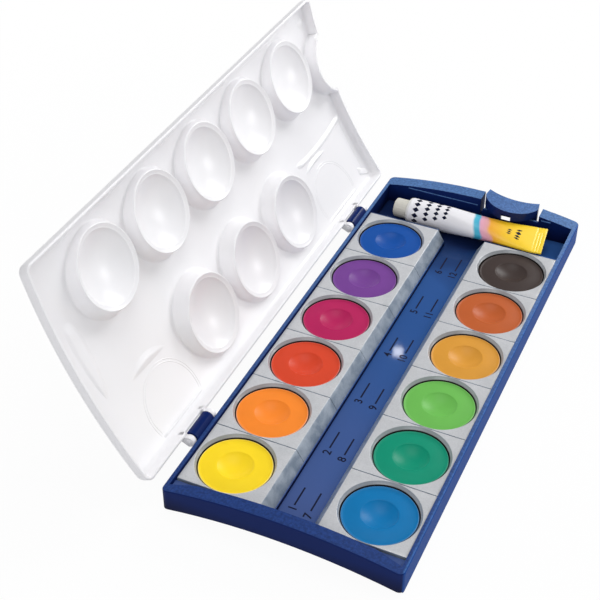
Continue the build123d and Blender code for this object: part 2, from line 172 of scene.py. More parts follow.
def soft_light(name, place, target, size, watts):
    """A square area light at place that looks at target."""
    data = bpy.data.lights.new(name, "AREA")
    data.shape, data.size, data.energy = "SQUARE", size, watts
    light = bpy.data.objects.new(name, data)
    light.location = place
    light.rotation_euler = (Vector(target) - Vector(place)).to_track_quat("-Z", "Y").to_euler()
    bpy.context.scene.collection.objects.link(light)


soft_light("window at the right", (0.72, 0.56, 0.24), (-0.06, 0, 0.05), 0.24, 1.2)
soft_light("soft box above", (-0.05, 0.2, 1.15), (0, 0, 0.01), 0.5, 3.3)
soft_light("low light behind", (0.3, 0.95, 0.6), (0, 0, 0.01), 0.45, 5.8)
soft_light("small lamp behind", (-0.29, 0.86, 0.782), (0, 0, 0.0), 0.013, 0.022)
soft_light("front fill", (0.3, -1.0, 0.8), (0, 0, 0.01), 0.8, 4.2)
bpy.context.scene.view_settings.view_transform = "Standard"
print(len(bpy.data.lights), "lamps")

# %% [markdown]
# ## Measures of the box
#
# Pans, tablets and their materials share a few lengths, taken from the CAD model, in millimetres. The
# pigments are listed in the order of the pans: the hinge row from the near end, then the free row.

# %% Measures of the box
PITCH, ROW_NEAR, PAN_TOP = 33.0, -111.25, 9.8  # step from pan to pan, near end of the rows, top face
PAN_IN, PAN_OUT, PAN_MID = 11.9, 47.2, 30.3  # inner and outer edge of the top face, middle of the well
LIP_X, LIP_Z, PAN_FOOT = 8.4, 3.8, 1.6  # lower edge of the sloping inner face, and the pan's foot
CAKE_FLOOR, CAKE_TOP = 5.0, 8.4  # under and upper side of a tablet
FIRST_Y = ROW_NEAR + PITCH / 2  # middle of the nearest pan
BARRELS = (-83.5, 78.1)  # middles of the tray's hinge barrels, along the box
PIGMENTS = {
    "yellow": "#ffdc20", "orange": "#fa8a2b", "red": "#d84527", "magenta": "#b51d59",
    "violet": "#744091", "ultramarine": "#094da0", "cyan": "#0075b2", "turquoise": "#009171",
    "green": "#6ebc55", "ochre": "#dc9a38", "sienna": "#bf5e2d", "umber": "#3f3431",
}
PLACES = [(colour, (-1, 1)[k // 6], FIRST_Y + PITCH * (k % 6)) for k, colour in enumerate(PIGMENTS)]
print("middles of the pans at x = +-", PAN_MID, "and y =", [y for _, side, y in PLACES if side < 0])

# %% [markdown]
# ## Blue moulded plastics
#
# The tray is injection-moulded polystyrene. Its rims carry the fine grain of a spark-eroded mould and
# look soft; inner walls and floors came off polished steel. Much of the blue is painted light and shade:
# walls are painted dark, darker towards the bottom and lighter on the outer right side; floors are a
# painted reflection, pale at the near end, with painted shade under the tube and in the thumb recess;
# rims are a painted sheen, paler towards the far end and on the right. A picture wrapped round it would
# need seams, so the tones follow Z and Y, and the grain, a small noise that drives a bump and the colour,
# comes in only where the true normal looks up and the surface lies high. The real grain, about 0.2 mm, is
# finer than a pixel, which covers 0.45 mm, so it is drawn 1.1 mm wide. The catch is springy
# polypropylene of the same blue.

# %% Blue moulded plastics


def plastic(name, walls, floors, rims, rough, grain_rough, **inputs):
    """Moulded plastic in three sets of tones, much of it painted light and shade: walls painted dark and
    darker towards the bottom, floors a painted reflection from near to far, rims a painted sheen from near
    to far. The third tone is painted light on the outer right side or, on a floor, painted shade under the
    tube and in the thumb recess. A floor is polished, and a rim's colour is its tone times 0.74 to 1.22 by
    the grain."""
    mat, tree, shader = new_material(name, walls[1], **inputs)
    where = add(tree, "TexCoord").outputs["Object"]
    place = add(tree, "SeparateXYZ", where).outputs
    facing = add(tree, "SeparateXYZ", add(tree, "NewGeometry").outputs["True Normal"]).outputs
    grain = add(tree, "TexNoise", where, Scale=0.9 * PER_MM, Detail=3.0, Roughness=0.65)
    cloud = add(tree, "TexNoise", where, Scale=0.026 * PER_MM, Detail=2.0)  # 38 mm wide

    # Faces that look up take the floor tone; walls, and the hinge barrels beyond X = -49.9 mm, take the wall
    # tone, painted dark as shade.
    up = add(tree, "MapRange", facing["Z"], 0.75, 0.97)
    beside_barrels = add(tree, "MapRange", place["X"], -49.9 * MM, -49.6 * MM)
    level = add(tree, "Math", up, beside_barrels, operation="MULTIPLY")
    high = add(tree, "MapRange", place["Z"], 8.8 * MM, 9.6 * MM)
    rim = add(tree, "Math", level, high, operation="MULTIPLY")

    # Painted shade: walls go darker towards the bottom, from walls[0] at Z = 0 to walls[1] at 9 mm.
    painted_shade_by_height = add(tree, "MapRange", place["Z"], 0.0, 9 * MM)
    wall = add(tree, "Mix", painted_shade_by_height, walls[0], walls[1], data_type="RGBA")
    # Painted light: the outer right wall, towards the window lamp, is painted the lighter walls[2].
    painted_light_right_wall = add(tree, "MapRange", place["X"], 48.8 * MM, 49.3 * MM)
    wall = add(tree, "Mix", painted_light_right_wall, wall, walls[2], data_type="RGBA")

    # Painted reflection: floors go from the pale floors[0] at the near end to the deeper floors[1] from the
    # middle on, swayed by a 38 mm cloud.
    wander = add(tree, "Math", cloud, 60 * MM, place["Y"], operation="MULTIPLY_ADD")
    along = add(tree, "MapRange", wander, -75 * MM, 45 * MM)
    floor_painted_reflection_and_shade = add(tree, "Mix", along, floors[0], floors[1], data_type="RGBA")
    # Painted shade: floors[2] darkens the far end under the tube, left of X = 22 mm, and the thumb recess
    # below Z = 1.45 mm.
    far_end = add(tree, "MapRange", wander, 90 * MM, 118 * MM)
    left_of_gap = add(tree, "MapRange", place["X"], 36 * MM, 22 * MM)
    under_tube = add(tree, "Math", far_end, left_of_gap, operation="MULTIPLY")
    in_recess = add(tree, "MapRange", place["Z"], 1.45 * MM, 1.2 * MM)
    shade = add(tree, "Math", under_tube, in_recess, operation="MAXIMUM")
    floor_painted_reflection_and_shade = add(tree, "Mix", shade, floor_painted_reflection_and_shade, floors[2], data_type="RGBA")

    # Painted sheen: rims go from the darker rims[0] at the near end to the paler rims[1] at the far end.
    along = add(tree, "MapRange", place["Y"], -115 * MM, 115 * MM)
    rim_painted_sheen_and_light = add(tree, "Mix", along, rims[0], rims[1], data_type="RGBA")
    # Painted light: the right rim's outer edge is painted the lighter rims[2].
    painted_light_right_rim = add(tree, "MapRange", place["X"], 48.4 * MM, 49.0 * MM)
    rim_painted_sheen_and_light = add(tree, "Mix", painted_light_right_rim, rim_painted_sheen_and_light, rims[2], data_type="RGBA")
    tone = add(tree, "Mix", level, wall, floor_painted_reflection_and_shade, data_type="RGBA")
    tone = add(tree, "Mix", rim, tone, rim_painted_sheen_and_light, data_type="RGBA")

    speck = add(tree, "MapRange", grain, 0.36, 0.64, 0.74, 1.22)
    speck = add(tree, "Mix", rim, 1.0, speck, data_type="FLOAT")
    polish = add(tree, "Mix", up, rough, 0.035, data_type="FLOAT")
    feed(
        tree, shader,
        Base_Color=add(tree, "HueSaturation", Color=tone, Value=speck),
        Roughness=add(tree, "Mix", rim, polish, grain_rough, data_type="FLOAT"),
        Normal=add(tree, "Bump", Height=grain, Strength=rim, Distance=0.04 * MM),
    )
    return mat


# Tones, low or near first: walls painted dark as shade; floors a painted reflection, then painted shade; rims
# a painted sheen, then painted light on the right.
tray_mat = plastic(
    "blue moulded polystyrene", ("#05082a", "#09205a", "#12448e"), ("#4a5f96", "#2f5796", "#16264f"),
    ("#213c78", "#5074a8", "#3a66a6"), 0.6, 0.5, Specular_IOR_Level=0.1,
)
# The catch's walls are painted darker low down and its rims paler further back, as painted shade and painted
# sheen.
catch_mat = plastic(
    "blue moulded polypropylene", ("#0d1746", "#14265f", "#14265f"), ("#14265f", "#172b68", "#172b68"),
    ("#3c5c98", "#4e70a6", "#4e70a6"), 0.2, 0.5, Specular_IOR_Level=0.12,
)
wear("base_tray", tray_mat)
wear("lid_catch", catch_mat)
print("blue plastics on", nodes["base_tray"].name, "and", nodes["lid_catch"].name)

# %% [markdown]
# ## Silver-grey pans
#
# The pans are moulded from grey polystyrene with a little metal pigment, which gives the eye a satin,
# pearly face. Real pigment flakes, 0.05 mm, are too fine to show, so a noise of 0.7 mm breaks up the
# gloss. The sides are painted a darker, bluish grey than the top, as painted shade and a painted
# reflection of the blue tray, and a broad noise of 6 mm streaks them with painted reflections. The wells
# are painted near black low down, as painted shade where little light gets in. Their distance is
# measured alike for all twelve: |x| less its middle, and y wrapped to one pan's pitch.

# %% Silver-grey pans
pan_mat, tree, shader = new_material(
    "silver-grey moulded polystyrene", "#b9bbbf", Roughness=0.3, Metallic=0.1, Specular_IOR_Level=0.4
)
where = add(tree, "TexCoord").outputs["Object"]
place = add(tree, "SeparateXYZ", where).outputs
facing = add(tree, "SeparateXYZ", add(tree, "NewGeometry").outputs["True Normal"]).outputs
fine = add(tree, "TexNoise", where, Scale=1.5 * PER_MM, Detail=3.0, Roughness=0.7)
broad = add(tree, "TexNoise", where, Scale=0.17 * PER_MM, Detail=3.0, Distortion=0.5)
# Painted reflections: the broad noise streaks the sides.
cloudy, painted_reflection_streaks = add(tree, "MapRange", broad, 0.2, 0.8), add(tree, "MapRange", broad, 0.35, 0.65)
top_tone = add(tree, "Mix", cloudy, "#bfc1c4", "#cccdd0", data_type="RGBA")
# Painted shade and painted reflection: the sides are a darker, bluish grey than the top, standing for shade
# and the blue tray seen in them.
side_painted_shade_and_reflection = add(tree, "Mix", painted_reflection_streaks, "#828f9e", "#a8b2bd", data_type="RGBA")

from_middle = add(tree, "Math", place["X"], operation="ABSOLUTE")
across = add(tree, "Math", from_middle, PAN_MID * MM, operation="SUBTRACT")
forward = add(tree, "Math", place["Y"], -FIRST_Y * MM, operation="ADD")
along = add(tree, "Math", forward, PITCH / 2 * MM, -PITCH / 2 * MM, operation="WRAP")
from_well = add(tree, "VectorMath", add(tree, "CombineXYZ", across, along), operation="LENGTH")
# Painted shadow: well walls below Z = 8.3 mm, in the gap round the tablet, are near black; the ring above
# keeps a plain grey.
above_gap = add(tree, "MapRange", place["Z"], 8.3 * MM, 8.6 * MM)
well_tone_and_painted_shadow = add(tree, "Mix", above_gap, "#2e2a28", "#a2a6aa", data_type="RGBA")
in_well = add(tree, "MapRange", from_well, 16.3 * MM, 16.1 * MM)
side_painted_shade_and_reflection = add(tree, "Mix", in_well, side_painted_shade_and_reflection, well_tone_and_painted_shadow, data_type="RGBA")
# The top faces take the top tone, all other faces the painted side tone.
up = add(tree, "MapRange", facing["Z"], 0.55, 0.95)
tone = add(tree, "Mix", up, side_painted_shade_and_reflection, top_tone, data_type="RGBA")
speck = add(tree, "MapRange", fine, 0.3, 0.7, 0.93, 1.07)
feed(
    tree, shader,
    Base_Color=add(tree, "HueSaturation", Color=tone, Value=speck),
    Normal=add(tree, "Bump", Height=fine, Distance=0.03 * MM, Strength=0.4),
)
for name in nodes:
    if name.startswith("pan_"):
        wear(name, pan_mat)
print("pans dressed")

# %% [markdown]
# ## Pressed gouache
#
# A tablet is pigment, chalk and gum pressed in a die: almost matt, with a soft waxy sheen and a little
# cloudiness. Its edge is painted lighter and paler all round, a painted highlight, and its side painted
# dark, a painted shadow in the gap round it. One set of nodes serves all twelve pigments. The distance
# from a tablet's own middle finds its edge and its side. Real grit is finer than a pixel, so it is drawn
# 0.4 mm wide, and the clouds 8 mm.

# %% Pressed gouache
for colour, side, y in PLACES:
    code = PIGMENTS[colour]
    mat, tree, shader = new_material("gouache " + colour, code, Roughness=0.38, Specular_IOR_Level=0.16)
    where = add(tree, "TexCoord").outputs["Object"]
    cloud = add(tree, "TexNoise", where, Scale=0.13 * PER_MM, Detail=4.0)
    grit = add(tree, "TexNoise", where, Scale=2.6 * PER_MM, Detail=2.0)
    middle = (-side * PAN_MID * MM, -y * MM, 0)
    flat = add(tree, "VectorMath", where, (1, 1, 0), middle, operation="MULTIPLY_ADD")
    radius = add(tree, "VectorMath", flat, operation="LENGTH")
    tone = add(tree, "MapRange", cloud, 0.0, 1.0, 0.93, 1.07)
    # Painted highlight: the edge beyond r = 14.3 mm is painted up to 0.3 lighter all round.
    edge = add(tree, "MapRange", radius, 14.3 * MM, 14.6 * MM)
    tone = add(tree, "Math", edge, 0.3, tone, operation="MULTIPLY_ADD")
    # Painted shadow: the side beyond r = 14.8 mm is painted 0.9 darker, as the shade in the gap round the
    # tablet.
    flank = add(tree, "MapRange", radius, 14.80 * MM, 14.88 * MM)
    tone = add(tree, "Math", flank, -0.9, tone, operation="MULTIPLY_ADD")
    # With the painted highlight the edge also turns paler, less saturated from r = 14.4 mm outwards.
    saturation_of_painted_highlight = add(tree, "MapRange", radius, 15.8 * MM, 14.4 * MM)
    feed(
        tree, shader,
        Base_Color=add(tree, "HueSaturation", Color=code, Value=tone, Saturation=saturation_of_painted_highlight),
        Normal=add(tree, "Bump", Height=grit, Distance=0.01 * MM, Strength=0.4),
    )
    wear("cake_" + colour, mat)
print(len(PIGMENTS), "pigments")

# %% [markdown]
# ## Milky polypropylene
#
# The lid is moulded from natural polypropylene, which lets light through but blurs it until it looks
# white. Real scatter inside the wall could be drawn, but at this size a satin white gives the eye the
# same, is clean at any setting and exports well. A cloud 33 mm wide keeps it from being dead flat.

# %% Milky polypropylene
lid_mat, tree, shader = new_material("milky polypropylene", "#f4f3f5", Roughness=0.28)
cloud = add(tree, "TexNoise", add(tree, "TexCoord").outputs["Object"], Scale=0.03 * PER_MM, Detail=2.0)
feed(tree, shader, Base_Color=add(tree, "Mix", cloud, "#f1f0f2", "#f7f6f8", data_type="RGBA"))
wear("lid", lid_mat)
print("lid dressed")

# %% [markdown]
# ## Surfaces as grids of points
#
# A smooth moulded shape is a stack of closed loops with the same number of points, which are its rows.
# Modelling by hand with bevels could give it too, but a grid keeps every length exact. `skin` joins
# neighbouring loops with quads, and a loop of radius zero closes the middle.

# %% Surfaces as grids of points


def skin(loops, closed=True):
    """Quads between neighbouring loops of equal length: (k, i), (k, i + 1), (k + 1, i + 1), (k + 1, i)."""
    grid = np.arange(len(loops) * len(loops[0])).reshape(len(loops), -1)
    ahead = np.roll(grid, -1, axis=1)
    quads = np.stack([grid[:-1], ahead[:-1], ahead[1:], grid[1:]], -1)
    return quads[:, : None if closed else -1].reshape(-1, 4).tolist()


def turned_over(faces):
    """The same faces, seen from their other side."""
    return [face[::-1] for face in faces]


def join(parts):
    """One set of points and faces from (points, faces) pairs; faces count on from the points before."""
    faces, first = [], 0
    for points, own_faces in parts:
        faces += [[i + first for i in face] for face in own_faces]
        first += len(points)
    return np.concatenate([points for points, _ in parts]), faces


def turned(profile, centre, segments=96):
    """A surface turned about an upright axis: centre + (r cos a, r sin a, z) for (r, z) of a profile."""
    a = np.linspace(0, 2 * pi, segments, endpoint=False)
    r, z = np.array(profile).T[:, :, None]
    return np.stack([centre[0] + r * np.cos(a), centre[1] + r * np.sin(a), z + 0 * a], -1)


def finish_mesh(name, points, faces, body, material, smooth=True, sharp=40):
    """Makes one object from points in metres, smooths it by angle, dresses it and lets it ride."""
    mesh = bpy.data.meshes.new(name)
    mesh.from_pydata(np.asarray(points).tolist(), [], faces)
    mesh.validate()
    mesh.update()
    if smooth:
        mesh.shade_smooth()
        mesh.set_sharp_from_angle(angle=radians(sharp))
    mesh.materials.append(material)
    thing = bpy.data.objects.new(name, mesh)
    bpy.context.scene.collection.objects.link(thing)
    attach(thing, body)
    return thing


print("a cylinder of 3 loops has", len(skin(turned([(1, 0), (1, 1), (1, 2)], (0, 0)))), "quads")

# %% [markdown]
# ## Twelve pans
#
# The top face of a pan is what lies between its round well and its four edges. Cutting a hole in a box
# would leave long thin faces there, so each loop runs once round: in the middle it is the circle, further
# out the square, and rows in between blend the two. Small quarter rounds make the edges catch light.

# %% Twelve pans
PAN_GAP, PER_SIDE, EDGE_ROUND = 0.15, 28, 0.2
WELL = [(15.32, CAKE_FLOOR), (15.32, 8.25), (15.36, 8.38), (15.45, 8.45), (16.0, 9.5), (16.12, 9.7),
        (16.22, 9.78), (16.36, PAN_TOP)]  # (r, z) of the well, from its floor up to the top face


def slope_x(z):
    """Where the sloping inner face is at height z, on a straight line from the top's edge to the lip."""
    return PAN_IN + (LIP_X - PAN_IN) * (PAN_TOP - z) / (PAN_TOP - LIP_Z)


def pan_loops(side, middle_y):
    """Loops of one pan, from the foot of its well to the foot of its walls: a circle c + r (cos a, sin a),
    then p = circle + t (square - circle), then squares that widen down the edge, slope and walls."""
    near, far = middle_y - PITCH / 2 + PAN_GAP, middle_y + PITCH / 2 - PAN_GAP
    s = np.linspace(0, 1, PER_SIDE, endpoint=False)

    def square(inset, x_in):
        """Points round the pan's outline, drawn in by inset, with its inner side at x_in."""
        x0, x1, y0, y1 = x_in + inset, PAN_OUT - inset, near + inset, far - inset
        return np.concatenate([
            np.column_stack([x0 + (x1 - x0) * s, y0 + 0 * s]),
            np.column_stack([x1 + 0 * s, y0 + (y1 - y0) * s]),
            np.column_stack([x1 + (x0 - x1) * s, y1 + 0 * s]),
            np.column_stack([x0 + 0 * s, y1 + (y0 - y1) * s]),
        ])

    centre, edge = np.array([PAN_MID, middle_y]), square(EDGE_ROUND, PAN_IN)
    a = np.arctan2(edge[:, 1] - centre[1], edge[:, 0] - centre[0])
    circle = np.column_stack([np.cos(a), np.sin(a)])
    mouth = centre + WELL[-1][0] * circle
    rows = [(centre + r * circle, z) for r, z in WELL]
    rows += [(mouth * (1 - t) + edge * t, PAN_TOP) for t in (0.12, 0.5, 1.0)]
    for inset, drop in ((0.09, 0.03), (0.03, 0.09), (0.0, EDGE_ROUND)):
        rows.append((square(inset, slope_x(PAN_TOP - drop)), PAN_TOP - drop))
    rows += [(square(0, slope_x(z)), z) for z in (7.5, 5.6, LIP_Z + 0.15)]
    rows += [(square(0, LIP_X + 0.1), LIP_Z)]
    rows += [(square(0, LIP_X + 1.5), z) for z in (LIP_Z, PAN_FOOT)]
    loops = np.stack([np.column_stack([xy, np.full(len(xy), z)]) for xy, z in rows])
    return loops * (side, 1, 1)


for colour, side, y in PLACES:
    loops = pan_loops(side, y)
    faces = skin(loops) if side < 0 else turned_over(skin(loops))
    pan = finish_mesh("satin_pan_" + colour, np.concatenate(loops) * MM, faces, "pan_" + colour, pan_mat)
    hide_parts("pan_" + colour)
print("pans of", len(loops), "loops and", len(loops[0]), "points a loop")

# %% [markdown]
# ## Twelve tablets
#
# A tablet is a turned profile: the round dished middle with its own soft shoulder, a faintly hollow
# ring, and a rounded edge with a hair-thin raised rim from the press. The dish is a paraboloid,
# z = -d (1 - (r / R)^2), and a little deeper than the real one, so that its shade shows.

# %% Twelve tablets
DISH_R, DISH_DEEP, CAKE_R = 7.2, 1.8, 14.9
dish = [(r, -0.02 - DISH_DEEP * (1 - (r / DISH_R) ** 2)) for r in (0.0, 1.2, 2.4, 3.6, 4.8, 5.8, 6.6, 7.1)]
face = [(7.22, 0.04), (7.4, 0.1), (7.7, 0.1), (9.0, 0.02), (11.5, -0.2), (13.5, -0.42)]
edge = [(14.0, -0.4), (14.25, -0.3), (14.5, -0.28), (14.7, -0.34), (14.84, -0.5), (CAKE_R, -0.9)]
CAKE = [(r, CAKE_TOP + z) for r, z in dish + face + edge] + [(CAKE_R, CAKE_FLOOR)]
for colour, side, y in PLACES:
    loops = turned(CAKE, (side * PAN_MID, y), 112)
    cake = finish_mesh(
        "tablet_" + colour, np.concatenate(loops) * MM, skin(loops), "pan_" + colour,
        bpy.data.materials["gouache " + colour], sharp=60,
    )
    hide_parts("cake_" + colour)
print("tablets of", len(CAKE), "rings")

# %% [markdown]
# ## The lid's crown and outline
#
# The lid is drawn shut and then turned open about the hinge. Its crown is a round arch across the box,
# arch(x) = rise - R + sqrt(R^2 - x^2). A bevelled box would need a cut for the notch at the catch, and
# the cut would spoil its rounded edges. So one outline runs round the lid, follows the curved notch and
# gives every row of the rim and walls.

# %% The lid's crown and outline
HALF, NEAR_Y, LID_FAR, CORNER = 49.5, -120.3, 118.8, 3.3
HINGE, OPEN = np.array([-52.0, 10.2]), radians(115.5)  # x and z of the hinge line
RIM_Z, DEPTH, WALL, RISE = 10.9, 5.8, 1.3, 5.0  # rim's height, outer depth, wall, rise of the crown
CATCH_X, CATCH_Y, NOTCH_R = 15.9, 119.34, 14.44  # the round notch that clears the catch


def ball_radius(half_width, rise):
    """Radius of an arc or ball that rises so far over that half width: (w^2 + h^2) / 2 h."""
    return (half_width**2 + rise**2) / (2 * rise)


CROWN_R = ball_radius(HALF, RISE)


def arch(x):
    """How much the crown rises at x: rise - R + sqrt(R^2 - x^2)."""
    return RISE - CROWN_R + np.sqrt(CROWN_R**2 - np.asarray(x) ** 2)


def top_in(x):
    """Height of the crown's inner side at x."""
    return RIM_Z + DEPTH - WALL + arch(x)


def top_out(x):
    """Height of the crown's outer side at x."""
    return RIM_Z + DEPTH + arch(x)


def opened(points):
    """Turns points of the shut lid, in millimetres, about the hinge into the open pose, in metres."""
    x, y, z = np.asarray(points, float).T
    dx, dz, c, s = x - HINGE[0], z - HINGE[1], cos(-OPEN), sin(-OPEN)
    return np.column_stack([HINGE[0] + dx * c + dz * s, y, HINGE[1] - dx * s + dz * c]) * MM


def straight(start, end, n, normal):
    """n points from start towards end: p = (1 - t) start + t end, each with its normal."""
    t = np.linspace(0, 1, n, endpoint=False)[:, None]
    return np.hstack([np.array(start) * (1 - t) + np.array(end) * t, np.tile((*normal, 0.0), (n, 1))])


def bend(cx, cy, a0, n=7):
    """n points of a quarter round from angle a0: p = centre + r (cos a, sin a), the normal outwards."""
    a = np.linspace(a0, a0 + pi / 2, n, endpoint=False)
    return np.column_stack([cx + CORNER * np.cos(a), cy + CORNER * np.sin(a), np.cos(a), np.sin(a), 0 * a])


x_mid, y0, y1 = HALF - CORNER, NEAR_Y + CORNER, LID_FAR - CORNER
reach = sqrt(NOTCH_R**2 - (LID_FAR - CATCH_Y) ** 2)
a = np.linspace(0, -pi, 44)[1:-1]
bay = [CATCH_X + NOTCH_R * np.cos(a), CATCH_Y + NOTCH_R * np.sin(a), -np.cos(a), -np.sin(a), 1 + 0 * a]
ring = np.concatenate([
    straight((-x_mid, NEAR_Y), (x_mid, NEAR_Y), 34, (0, -1)),
    bend(x_mid, y0, -pi / 2),
    straight((HALF, y0), (HALF, y1), 60, (1, 0)),
    bend(x_mid, y1, 0),
    straight((x_mid, LID_FAR), (CATCH_X + reach + 0.02, LID_FAR), 8, (0, 1)),
    [(CATCH_X + reach, LID_FAR, -1, 1, 1)],
    np.column_stack(bay),
    [(CATCH_X - reach, LID_FAR, 1, 1, 1)],
    straight((CATCH_X - reach - 0.02, LID_FAR), (-x_mid, LID_FAR), 20, (0, 1)),
    bend(-x_mid, y1, pi / 2),
    straight((-HALF, y1), (-HALF, y0), 120, (-1, 0)),
    bend(-x_mid, y0, pi),
])  # x, y, outward normal, and 1 on the notch
notch = ring[:, 4] > 0.5
print("outline of", len(ring), "points,", notch.sum(), "of them on the notch")

# %% [markdown]
# ## Rim and walls
#
# Each row is the outline drawn in by an inset at a height of its own. The first rows round the inner
# edge under the crown, then come the wall, the flat rim, the wall outside and the outer round. The rim
# ends higher round the notch and beside the two hinge barrels, where the tray needs room.

# %% Rim and walls
NOTCH_HALF, NOTCH_Z = 13.3, 12.3  # half the width of the notch's low part, and its rim's height
BESIDE_BARREL, BARREL_ROOM = 7.2, 1.1  # half the length of rim that is higher by a barrel, how much higher


def loop_at(inset, height):
    """The outline drawn in along its normals, p - inset n, at a height that is a number or an array."""
    xy = ring[:, :2] - ring[:, 2:4] * np.reshape(inset, (-1, 1))
    return np.column_stack([xy, np.broadcast_to(height, len(ring))])


rim = RIM_Z + arch(ring[:, 0])
rim = np.where(notch & (abs(ring[:, 0] - CATCH_X) < NOTCH_HALF), NOTCH_Z, rim)
for y in BARRELS:
    beside = (ring[:, 0] < -HALF + 0.1) & (abs(ring[:, 1] - y) < BESIDE_BARREL)
    rim = np.where(beside, rim + BARREL_ROOM, rim)
inner_r, outer_r = np.where(notch, 0.9, 1.8), np.where(notch, 0.7, 3.0)

rows = []
for t in np.arange(5) / 4 * pi / 2:
    loop = loop_at(WALL + inner_r * (1 - np.sin(t)), 0)
    loop[:, 2] = top_in(loop[:, 0]) - inner_r * (1 - cos(t))
    rows.append(loop)
for inset, lift in ((WALL, 0.3), (WALL - 0.1, 0.08), (WALL - 0.3, 0), (0.3, 0), (0.1, 0.08), (0, 0.3)):
    rows.append(loop_at(inset, rim + lift))
for t in np.arange(6) / 5 * pi / 2:
    loop = loop_at(outer_r * (1 - np.cos(t)), 0)
    loop[:, 2] = top_out(loop[:, 0]) - outer_r * (1 - sin(t))
    rows.append(loop)
lid_parts = [(np.concatenate(rows), turned_over(skin(rows)))]
print("rim and walls of", len(rows), "rows")

# %% [markdown]
# ## Eight mixing cups
#
# Each cup stands up from the crown as a cone with a rolled lip round a shallow bowl, which is part of a
# ball. A cone cut by the crown has no simple outline, so its foot is found by trying: the radius gives
# the crown's height there, and that height gives the cone's next radius, which settles in a few rounds.

# %% Eight mixing cups
CUP_TOP, CUP_RIM, CUP_FLARE, BOWL = 13.6, 17.2, (20.0 - 17.2) / 8.1, 5.0
CUP_STEP, CUP_ROW, BOWL_R = 40.9, 25.0, 14.9
BOWL_EDGE, BACK_EDGE = 0.95, 0.65  # where the bowl's ball starts over the cup's top, inside and behind
CUP_LIP = ((17.12, 0.08), (17.02, 0.02), (16.92, 0.0), (16.78, 0.0), (16.62, 0.07), (15.5, 0.66),
           (15.36, 0.68), (15.2, 0.68), (15.05, 0.76), (BOWL_R, 0.88))  # (r, z over CUP_TOP)
BACK_Z = CUP_TOP + WALL + BACK_EDGE
cups = [(CUP_ROW, (i - 2) * CUP_STEP) for i in range(5)] + [(-CUP_ROW, (i - 1) * CUP_STEP) for i in range(3)]
TURN = np.linspace(0, 2 * pi, 96, endpoint=False)


def cone(z):
    """Radius of a cup's outer flank at height z: it widens evenly towards the crown."""
    return CUP_RIM + CUP_FLARE * (z - CUP_TOP)


def foot_radius(cx, z_of, radius_of):
    """Where a flank meets the crown all round: r = radius_of(z_of(cx + r cos a)), by repeating it."""
    r = np.full(len(TURN), 19.0)
    for _ in range(12):
        r = radius_of(z_of(cx + r * np.cos(TURN)))
    return r


def circle(middle, r, z):
    """A loop c + r (cos a, sin a) at height z; r and z may change with a."""
    x, y = middle[0] + r * np.cos(TURN), middle[1] + r * np.sin(TURN)
    return np.column_stack([x, y, np.broadcast_to(z, len(TURN))])


def ball_fall(r, radius):
    """How far a ball's surface falls at r from its top: R - sqrt(R^2 - r^2)."""
    return radius - sqrt(radius**2 - r**2)


holes_in, holes_out = [], []
ball = ball_radius(BOWL_R, BOWL - BOWL_EDGE)
back_r = cone(BACK_Z) - WALL - 0.4
back_ball = ball_radius(back_r, BOWL - BACK_EDGE)
for middle in cups:
    r = foot_radius(middle[0], top_in, cone)
    loops = []
    for out_by, drop in ((0.9, 0.0), (0.45, -0.07), (0.15, -0.3), (0.0, -0.75)):
        z = top_in(middle[0] + (r + out_by) * np.cos(TURN)) + drop
        loops.append(circle(middle, np.maximum(cone(z), r + out_by), z))
    foot_z = loops[-1][:, 2]
    for t in (0.35, 0.7, 1.0):
        z = foot_z * (1 - t) + (CUP_TOP + 0.25) * t
        loops.append(circle(middle, cone(z), z))
    loops += [circle(middle, r_lip, CUP_TOP + rise) for r_lip, rise in CUP_LIP]
    loops += [circle(middle, r_in, CUP_TOP + BOWL - ball_fall(r_in, ball))
              for r_in in (14.7, 13.5, 12.0, 10.0, 8.0, 6.0, 4.0, 2.0, 0.0)]
    holes_in.append(loops[0])
    lid_parts.append((np.concatenate(loops), skin(loops)))

    r = foot_radius(middle[0], top_out, lambda z: cone(z) - WALL)
    loops = [circle(middle, r + 0.5, top_out(middle[0] + (r + 0.5) * np.cos(TURN)))]
    for t in (0.08, 0.5, 1.0):
        z = (top_out(middle[0] + r * np.cos(TURN)) - 0.3) * (1 - t) + BACK_Z * t
        loops.append(circle(middle, cone(z) - WALL, z))
    loops += [circle(middle, r_back, CUP_TOP + BOWL + WALL - ball_fall(r_back, back_ball))
              for r_back in (back_r, 15.0, 13.0, 10.0, 7.0, 3.5, 0.0)]
    holes_out.append(loops[0])
    lid_parts.append((np.concatenate(loops), turned_over(skin(loops))))
print(len(cups), "cups, whose feet reach", round(max(np.ptp(h[:, 0]) for h in holes_in) / 2, 1), "mm out")

# %% [markdown]
# ## The crown between the cups
#
# What is left of the crown is a plate with eight holes. No grid fits it, so it is filled with triangles
# by Delaunay's rule, which keeps them as round as it can. A net of points 5.5 by 7 mm in between lets
# them follow the arch.

# %% The crown between the cups
NET_X, NET_Y, FROM_CUP, FROM_EDGE = 5.5, 7.0, 22, 2.5  # steps of the net, and how far it stays off


def inside(points, loop):
    """Which points lie in a closed loop: a ray along +X crosses it an odd number of times."""
    px, py = points[:, 0, None], points[:, 1, None]
    x0, y0 = loop[:, 0], loop[:, 1]
    x1, y1 = np.roll(x0, -1), np.roll(y0, -1)
    with np.errstate(divide="ignore", invalid="ignore"):
        at = x0 + (py - y0) / (y1 - y0) * (x1 - x0)
    return np.sum(((y0 > py) != (y1 > py)) & (at > px), 1) % 2 == 1


